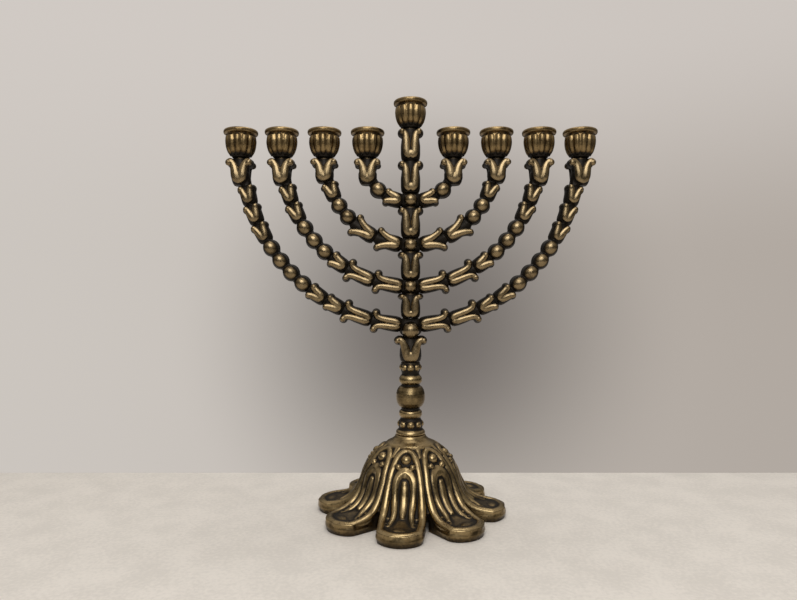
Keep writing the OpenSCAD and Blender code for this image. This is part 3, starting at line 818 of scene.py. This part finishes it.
def petalSheet():
    clearSelection()
    bpy.ops.mesh.primitive_grid_add(x_subdivisions=24, y_subdivisions=40, size=2)
    sheet = bpy.context.object
    start, sink = baseSet["sheetFrom"], baseSet["sink"]
    long = baseSet["reach"] - baseSet["sheetShort"] - start
    for vertex in sheet.data.vertices:
        out = start + long * (vertex.co.y + 1) / 2
        wide = max(petalWidth(out) - baseSet["sheetInset"], baseSet["sheetLeast"])
        rise = (sink - baseSet["toeSink"]) * float(smoothStep(out, *baseSet["toeRamp"]))
        vertex.co = onBell(out, vertex.co.x * wide, rise - sink)
    pick(sheet)
    thick = sheet.modifiers.new("thick", "SOLIDIFY")
    thick.thickness = baseSet["sheetThick"]
    thick.offset = 1 if sheet.data.polygons[0].normal.z < 0 else -1
    bpy.ops.object.modifier_apply(modifier="thick")
    return sheet


def toeLine(inset):
    bow = baseSet["toeR"] - inset
    swing = math.asin((baseSet["halfWidth"] - inset) / bow)
    turns = [swing * share for share in np.linspace(1, 0, baseSet["toePoints"])]
    return [(toeMiddle() + bow * math.cos(turn), bow * math.sin(turn)) for turn in turns]


def bothSides(half):
    return half + [(out, -across) for out, across in half[-2::-1]]


def petalWall():
    side = baseSet["halfWidth"] - baseSet["rim"]
    line = bothSides([(out, side) for out in baseSet["wallFrom"]] + toeLine(baseSet["rim"]))
    return uprightWall([(across, -out) for out, across in line], baseSet["wallHalf"], baseSet["foot"],
                       lambda x, y: bellAt(math.hypot(x, y), baseSet["wallSink"])[1])


def toeRoll():
    toe = toeLine(baseSet["toeRoll"])
    sizes = baseSet["rollSize"] + [baseSet["toeRoll"]] * len(toe)
    path = [(across, -out, baseSet["rollHeight"]) for out, across in bothSides(baseSet["roll"] + toe)]
    return ridgeTube(path, sizes + sizes[-2::-1])


def borderRidge():
    half = baseSet["border"] + toeLine(baseSet["borderInset"])
    loop = [(out, -across) for out, across in half[:0:-1]] + half
    path = [onBell(out, across, baseSet["borderLift"]) for out, across in loop]
    return ridgeTube(path, [baseSet["borderSize"]] * len(path))


def valleyWeb():
    turn = math.pi / baseSet["petals"]
    sizes = [size for out, size in baseSet["web"]]
    path = [
        onBell(out * math.cos(turn), out * math.sin(turn), baseSet["webLift"] - size)
        for out, size in baseSet["web"]
    ]
    return ridgeTube(path, sizes)


def archRidge():
    sizes = baseSet["archSize"] + baseSet["archSize"][-2::-1]
    spots = zip(bothSides(baseSet["arch"]), sizes)
    return ridgeTube([onBell(*spot, baseSet["archLift"] - size) for spot, size in spots], sizes)


def spindleRidge():
    sizes = baseSet["spindleSize"]
    return ridgeTube([onBell(out, 0, -size) for out, size in zip(baseSet["spindle"], sizes)], sizes)


def sideRelief(side):
    sink = baseSet["toeSink"] + baseSet["scrollSink"]
    scroll = [onBell(out, side * across, -sink) for out, across in baseSet["scroll"]]
    parts = [ridgeTube(scroll, [baseSet["scrollSize"]] * len(scroll))]
    for key, lift in (("smallBead", baseSet["smallBeadLift"]), ("dot", 0)):
        out, across, size = baseSet[key]
        parts.append(ball(onBell(out, side * across, lift - baseSet["sink"]), size))
    return parts


def middleRelief():
    out, size = baseSet["bead"]
    bead = ball(onBell(out, 0, baseSet["beadLift"] - size), size)
    out, wide, long = baseSet["boss"]
    sink = baseSet["toeSink"] + baseSet["bossSink"]
    return [bead, ball(onBell(out, 0, -sink), 1, (wide, long, 1))]


# Relief may not hang into the hollow of the bell

def trimInside(part):
    deep, domeZ, domeR = baseSet["deepest"], baseSet["domeZ"], baseSet["domeR"]
    flareX, flareZ, flareR = baseSet["flareX"], baseSet["flareZ"], baseSet["flareR"]
    waistZ = domeZ + math.sqrt(domeR ** 2 - baseSet["waistR"] ** 2)
    tiny = 0.01
    for vertex in part.data.vertices:
        x, y, z = vertex.co
        radius = max(math.hypot(x, y), tiny)
        if z > waistZ:
            centreR, centreZ = 0, domeZ
            grow = max(1, (domeR - deep) / max(math.hypot(radius, z - domeZ), tiny))
        else:
            centreR, centreZ = max(radius, flareX), flareZ
            grow = min(1, (flareR + deep) / max(math.hypot(radius - centreR, z - flareZ), tiny))
        newRadius = centreR + (radius - centreR) * grow
        vertex.co = (x / radius * newRadius, y / radius * newRadius, centreZ + (z - centreZ) * grow)


def onePetal():
    relief = [borderRidge(), valleyWeb()]
    relief += sideRelief(-1) + sideRelief(1)
    relief += [archRidge(), spindleRidge()] + middleRelief()
    for part in relief:
        trimInside(part)
    return joinPieces([petalSheet(), petalWall(), toeRoll()] + relief)


def makeBase():
    petal = onePetal()
    parts = [ringBody(bellRings(), baseSet["sides"])]
    for i in range(baseSet["petals"]):
        turn = math.radians(baseSet["turn"] + 360 / baseSet["petals"] * i)
        parts.append(placeCopy(petal, Matrix.Rotation(turn, 4, "Z")))
    bpy.data.objects.remove(petal)
    piece = castSkin(joinPieces(parts), baseSet["grain"], baseSet["soften"])
    place = meshArrays(piece.data)[0]
    place[:, 2] = np.maximum(place[:, 2], 0)             # the toes stand flat on the floor
    piece.data.vertices.foreach_set("co", place.ravel())
    piece.data.update()
    return piece


def petalPlace(place):
    turn = np.arctan2(place[:, 0], -place[:, 1]) - math.radians(baseSet["turn"])
    step = math.tau / baseSet["petals"]
    turn -= np.round(turn / step) * step
    radius = np.hypot(place[:, 0], place[:, 1])
    return radius, radius * np.cos(turn), np.abs(radius * np.sin(turn))


def wearAndShadeBase(mesh):
    place = meshArrays(mesh)[0]
    height = place[:, 2]
    radius, out, across = petalPlace(place)
    crease = smoothStep(reliefHeight(mesh, baseSet["creaseRounds"]), *baseSet["crease"])
    broad = smoothStep(reliefHeight(mesh, baseSet["broadRounds"]), *baseSet["broad"])
    # Painted shade: on the toe walls the crease darkening is dropped and the tone falls toward the floor
    onWall = smoothStep(radius, *baseSet["wallStart"]) * (1 - smoothStep(height, *baseSet["wallTop"]))
    crease += onWall * (1 - crease)
    wallShading = baseSet["wallShadeFloor"] + baseSet["wallShading"] * smoothStep(height, *baseSet["wallShadeRise"])
    broad += onWall * (wallShading - broad)
    fromEdge = baseSet["toeR"] - np.hypot(np.maximum(out - toeMiddle(), 0), across)
    fromEdge = np.minimum(fromEdge, baseSet["halfWidth"] - across)
    onFlat = smoothStep(fromEdge, *baseSet["flatEdge"]) * smoothStep(out, *baseSet["flatFrom"])
    onFlat *= smoothStep(height, *baseSet["flatHeight"])
    broad *= 1 - baseSet["flatDim"] * onFlat
    bossOut, bossWide, bossLong = baseSet["boss"]
    offBoss = np.hypot((out - bossOut) / bossLong, across / bossWide)
    onBoss = (1 - smoothStep(offBoss, *baseSet["bossEdge"])) * smoothStep(height, *baseSet["bossHeight"])
    onCap = (1 - smoothStep(radius, *baseSet["capEdge"])) * smoothStep(height, *baseSet["capHeight"])
    rub = crease * (baseSet["broadFloor"] + (1 - baseSet["broadFloor"]) * broad)
    rub = np.maximum(rub, baseSet["bossTone"] * onBoss)
    setWearAndShade(mesh, np.maximum(rub, baseSet["capTone"] * onCap))


base = makeBase()
wearAndShadeBase(base.data)
thinOut(base, baseSet["faces"])
finishPiece(base, "baseBell", "base", ["base"], brass)
print("base modelled", len(base.data.polygons), "faces")


# Floor, light and surroundings

stageSet = {
    "sky": 0.5, "skyTint": (1, 0.98, 0.95, 1), "aim": (0, 0, 0.09),
    "key": {"place": (-0.04, -0.63, 0.5), "size": 0.5, "power": 3.6},
    "top": {"place": (0.05, 0.05, 0.75), "size": 0.4, "power": 1.6},
}
floorSet = {
    "size": 6, "back": 0.056, "drop": 0.0001, "pale": (0.69, 0.635, 0.57, 1), "dimShare": 0.88,
    "cloud": 60, "grit": 700, "dimCloud": (0.75, 1.25), "rough": 0.6,
}
wallSet = {
    # painted light: the wall is brighter on the left and toward the top, as if lit from the upper left
    "left": (0.6, 0.56, 0.52, 1), "right": (0.44, 0.395, 0.355, 1), "across": (-0.6, 0.6),
    "top": (0.64, 0.595, 0.56, 1), "rise": (0.05, 0.4), "paintedTopLightShare": 0.8,
    # painted shadow: a soft dark patch, the menorah's shadow on the wall, around one direction behind it
    "shade": (0.12, 0.106, 0.098, 1), "wallShadowAt": (0.05, 1, -0.045), "wallShadowReach": (0.03, 0.42),
    "wallShadowShare": 0.86,
}
# The curtain glows, dark low down and pale higher up, and shows only in reflections on the metal: painted
# reflections
curtainSet = {
    "radius": 0.75, "height": 0.7, "sides": 64, "low": (0.05, 0.046, 0.04, 1), "high": (0.55, 0.52, 0.48, 1),
    "lowShare": -0.4, "highShare": 0.5,
}


def softLight(name, settings):
    clearSelection()
    bpy.ops.object.light_add(type="AREA", location=settings["place"])
    lamp = bpy.context.object
    lamp.name = name
    lamp.data.size = settings["size"]
    lamp.data.energy = settings["power"]
    toward = Vector(stageSet["aim"]) - lamp.location
    lamp.rotation_euler = toward.to_track_quat("-Z", "Y").to_euler()


def paleFloor():
    clearSelection()
    size = floorSet["size"]
    spot = (0, floorSet["back"] - size / 2, -floorSet["drop"])
    bpy.ops.mesh.primitive_plane_add(size=size, location=spot)
    bpy.ops.object.transform_apply(location=True, rotation=False, scale=False)
    floor = bpy.context.object
    floor.name = "floor"
    material, tree = shaderNodes("paleFloor")
    out = tree.nodes.new("ShaderNodeOutputMaterial")
    shader = tree.nodes.new("ShaderNodeBsdfPrincipled")
    shader.inputs["Roughness"].default_value = floorSet["rough"]
    place = tree.nodes.new("ShaderNodeTexCoord").outputs["Object"]
    broad = noiseNode(tree, place, floorSet["cloud"], 4)
    cloud = mathNode(tree, broad, noiseNode(tree, place, floorSet["grit"], 3))
    pale = floorSet["pale"]
    dim = tuple(part * floorSet["dimShare"] for part in pale[:3]) + (1,)
    tint = blendColour(tree, spread(tree, cloud, *floorSet["dimCloud"], 0, 1), pale, dim)
    tree.links.new(tint, shader.inputs["Base Color"])
    tree.links.new(shader.outputs[0], out.inputs["Surface"])
    floor.data.materials.append(material)


# The curtain is no lamp but glows; hidden from the camera, from diffuse light and from shadows, it shows only
# in the metal as painted reflections of dark surroundings
def darkSurround():
    clearSelection()
    height = curtainSet["height"]
    bpy.ops.mesh.primitive_cylinder_add(vertices=curtainSet["sides"], radius=curtainSet["radius"],
                                        depth=height, end_fill_type="NOTHING", location=(0, 0, height / 2))
    curtain = bpy.context.object
    curtain.name = "curtain"
    material, tree = shaderNodes("darkCurtain")
    out = tree.nodes.new("ShaderNodeOutputMaterial")
    glow = tree.nodes.new("ShaderNodeEmission")
    place = tree.nodes.new("ShaderNodeSeparateXYZ")
    tree.links.new(tree.nodes.new("ShaderNodeTexCoord").outputs["Object"], place.inputs[0])
    low, high = height * curtainSet["lowShare"], height * curtainSet["highShare"]
    rise = spread(tree, place.outputs["Z"], low, high, 0, 1)
    tree.links.new(blendColour(tree, rise, curtainSet["low"], curtainSet["high"]), glow.inputs["Color"])
    tree.links.new(glow.outputs[0], out.inputs["Surface"])
    curtain.data.materials.append(material)
    curtain.visible_camera = False
    curtain.visible_diffuse = False
    curtain.visible_shadow = False


def paleRoom():
    world = bpy.data.worlds.new("room")
    bpy.context.scene.world = world
    world.use_nodes = True
    tree = world.node_tree
    tree.nodes.clear()
    out = tree.nodes.new("ShaderNodeOutputWorld")
    seen = tree.nodes.new("ShaderNodeBackground")
    toward = tree.nodes.new("ShaderNodeTexCoord").outputs["Generated"]
    way = tree.nodes.new("ShaderNodeSeparateXYZ")
    tree.links.new(toward, way.inputs[0])
    # Painted light on the wall: brighter on the left and toward the top
    across = spread(tree, way.outputs["X"], *wallSet["across"], 0, 1)
    paintedWallLight = blendColour(tree, across, wallSet["left"], wallSet["right"])
    rise = spread(tree, way.outputs["Z"], *wallSet["rise"], 0, wallSet["paintedTopLightShare"])
    paintedWallLight = blendColour(tree, rise, paintedWallLight, wallSet["top"])
    # Painted shadow: the menorah's soft shadow as a dark patch on the wall around one direction
    off = tree.nodes.new("ShaderNodeVectorMath")
    off.operation = "DISTANCE"
    off.inputs[1].default_value = wallSet["wallShadowAt"]
    tree.links.new(toward, off.inputs[0])
    paintedWallShadow = spread(tree, off.outputs["Value"], *wallSet["wallShadowReach"], wallSet["wallShadowShare"], 0)
    tree.links.new(blendColour(tree, paintedWallShadow, paintedWallLight, wallSet["shade"]), seen.inputs["Color"])
    light = tree.nodes.new("ShaderNodeBackground")
    light.inputs["Color"].default_value = stageSet["skyTint"]
    light.inputs["Strength"].default_value = stageSet["sky"]
    rays = tree.nodes.new("ShaderNodeLightPath")
    visible = mathNode(tree, rays.outputs["Is Camera Ray"], rays.outputs["Is Glossy Ray"], "MAXIMUM")
    visible = mathNode(tree, visible, rays.outputs["Is Transmission Ray"], "MAXIMUM")
    mix = tree.nodes.new("ShaderNodeMixShader")
    tree.links.new(visible, mix.inputs[0])
    tree.links.new(light.outputs[0], mix.inputs[1])
    tree.links.new(seen.outputs[0], mix.inputs[2])
    tree.links.new(mix.outputs[0], out.inputs["Surface"])


paleFloor()
paleRoom()
softLight("keyLight", stageSet["key"])
softLight("topLight", stageSet["top"])
darkSurround()
bpy.context.scene.view_settings.view_transform = "Standard"
print("stage set")
